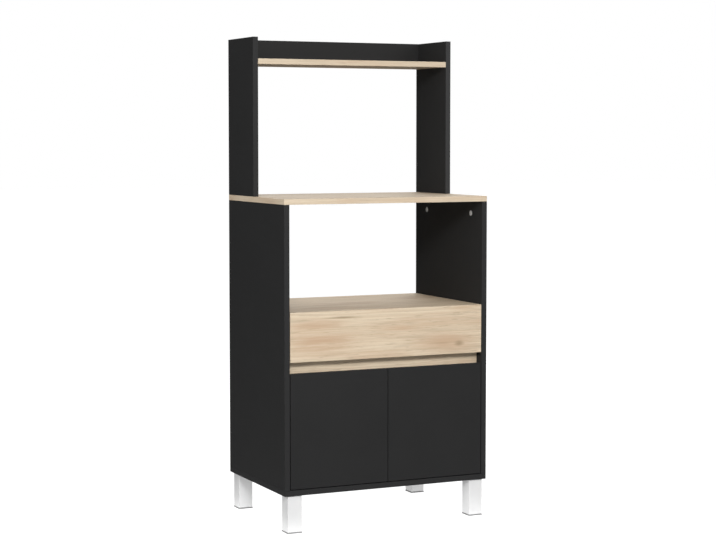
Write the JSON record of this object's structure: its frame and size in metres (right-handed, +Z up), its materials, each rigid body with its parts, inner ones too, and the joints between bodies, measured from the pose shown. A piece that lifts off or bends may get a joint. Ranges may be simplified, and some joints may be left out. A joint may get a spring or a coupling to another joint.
{
  "type": "microwave stand",
  "caption": "Tall kitchen stand with a cupboard, a drawer, an open niche for a microwave oven and a raised hutch shelf, on square legs.",
  "frame": {"origin": "on the floor, under the middle of the cabinet's width and depth", "axes": "+Z up, -Y out of the front, +X to the right as seen from the front"},
  "size_m": [0.6, 0.4, 1.31],
  "materials": {
    "black_board": "black melamine, matt",
    "oak_board": "light oak laminate, matt",
    "hardboard": "black painted hardboard",
    "white_leg": "white satin lacquer",
    "glide": "grey plastic",
    "steel": "zinc-plated steel",
    "zinc": "die-cast zinc",
    "nickel": "nickel-plated pressed steel",
    "beech": "bare fluted beech",
    "runner_white": "white powder-coated steel",
    "nylon": "moulded nylon"
  },
  "bodies": {
    "cabinet": {"side_panel_left": "black_board", "side_panel_right": "black_board", "bottom_panel": "black_board", "hutch_side_left": "black_board", "hutch_side_right": "black_board", "hutch_back_rail": "black_board", "countertop": "oak_board", "niche_floor": "oak_board", "grip_rail": "oak_board", "hutch_shelf": "oak_board", "back_panel": "hardboard", "leg_front_left": "white_leg", "leg_front_right": "white_leg", "leg_rear_left": "white_leg", "leg_rear_right": "white_leg", "leg_glides": "glide", "leg_bolts": "steel", "cam_dowels": "steel", "hutch_screws": "steel", "plate_screws": "steel", "arm_screws": "steel", "cabinet_runner_screws": "steel", "front_roller_pins": "steel", "leg_inserts": "zinc", "cam_locks": "zinc", "hinge_plates_left": "zinc", "hinge_plates_right": "zinc", "hinge_arms_left": "nickel", "hinge_arms_right": "nickel", "wooden_dowels": "beech", "cabinet_runner_left": "runner_white", "cabinet_runner_right": "runner_white"},
    "drawer": {"drawer_front": "oak_board", "drawer_side_left": "black_board", "drawer_side_right": "black_board", "drawer_back": "black_board", "drawer_bottom": "hardboard", "drawer_cam_locks": "zinc", "drawer_cam_dowels": "steel", "drawer_back_screws": "steel", "drawer_runner_left": "runner_white", "drawer_runner_right": "runner_white", "drawer_runner_screws": "steel", "rear_roller_pins": "steel"},
    "door_left": {"door_left": "black_board", "hinge_cups_left": "nickel", "hinge_pins_left": "steel", "cup_screws_left": "steel"},
    "door_right": {"door_right": "black_board", "hinge_cups_right": "nickel", "hinge_pins_right": "steel", "cup_screws_right": "steel"},
    "front_roller_left": {"front_roller_left": "nylon"},
    "front_roller_right": {"front_roller_right": "nylon"},
    "rear_roller_left": {"rear_roller_left": "nylon"},
    "rear_roller_right": {"rear_roller_right": "nylon"}
  },
  "joints": [
    {"name": "drawer_slide", "type": "slide", "parent": "cabinet", "child": "drawer", "axis": [0, -1, 0], "range_m": [0, 0.265]},
    {"name": "door_left_swing", "type": "hinge", "parent": "cabinet", "child": "door_left", "pos_m": [-0.27098, -0.1941, 0.2695], "axis": [0, 0, -1], "range_deg": [0, 95]},
    {"name": "door_right_swing", "type": "hinge", "parent": "cabinet", "child": "door_right", "pos_m": [0.27098, -0.1941, 0.2695], "axis": [0, 0, 1], "range_deg": [0, 95]},
    {"name": "front_roller_left_spin", "type": "hinge", "parent": "cabinet", "child": "front_roller_left", "pos_m": [-0.2794, -0.171, 0.4798], "axis": [1, 0, 0], "range_deg": [0, 1450]},
    {"name": "rear_roller_left_spin", "type": "hinge", "parent": "drawer", "child": "rear_roller_left", "pos_m": [-0.2781, 0.153, 0.47675], "axis": [1, 0, 0], "range_deg": [0, 1450]},
    {"name": "front_roller_right_spin", "type": "hinge", "parent": "cabinet", "child": "front_roller_right", "pos_m": [0.2794, -0.171, 0.4798], "axis": [1, 0, 0], "range_deg": [0, 1450]},
    {"name": "rear_roller_right_spin", "type": "hinge", "parent": "drawer", "child": "rear_roller_right", "pos_m": [0.2781, 0.153, 0.47675], "axis": [1, 0, 0], "range_deg": [0, 1450]}
  ],
  "couplings": [
    {"joint": "front_roller_left_spin", "follows": "drawer_slide", "rad_per_m": 95.238},
    {"joint": "rear_roller_left_spin", "follows": "drawer_slide", "rad_per_m": 95.238},
    {"joint": "front_roller_right_spin", "follows": "drawer_slide", "rad_per_m": 95.238},
    {"joint": "rear_roller_right_spin", "follows": "drawer_slide", "rad_per_m": 95.238}
  ]
}
